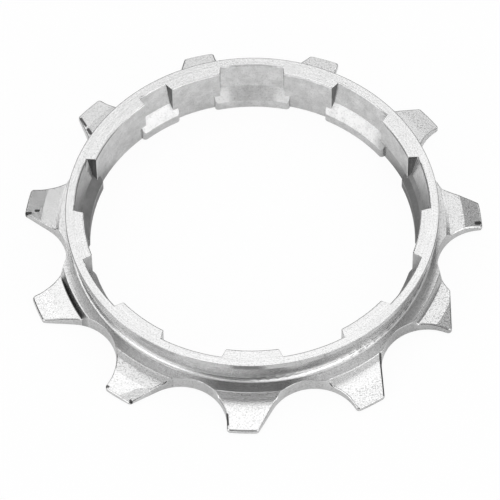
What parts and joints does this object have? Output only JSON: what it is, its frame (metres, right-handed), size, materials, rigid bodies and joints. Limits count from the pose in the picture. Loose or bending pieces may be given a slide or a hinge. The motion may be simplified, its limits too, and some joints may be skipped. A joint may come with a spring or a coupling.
{
  "type": "cassette cog",
  "caption": "Small splined sprocket ring with short, bevelled chain teeth and a raised spacer collar, machined in one piece from plated steel.",
  "frame": {"origin": "on the bore axis, in the plane of the outboard face that the cog lies on", "axes": "+Z along the bore axis from the toothed face to the collar's free face; +Y through the middle of the wide spline notch that follows the narrow one clockwise, seen from the collar side"},
  "size_m": [0.045, 0.0448, 0.0052],
  "materials": {
    "plated_steel": "bright nickel plating over turned, broached and milled steel, with fine concentric turning marks on the collar and lightly pitted tooth faces"
  },
  "bodies": {
    "root": {"cog": "plated_steel"}
  },
  "joints": []
}
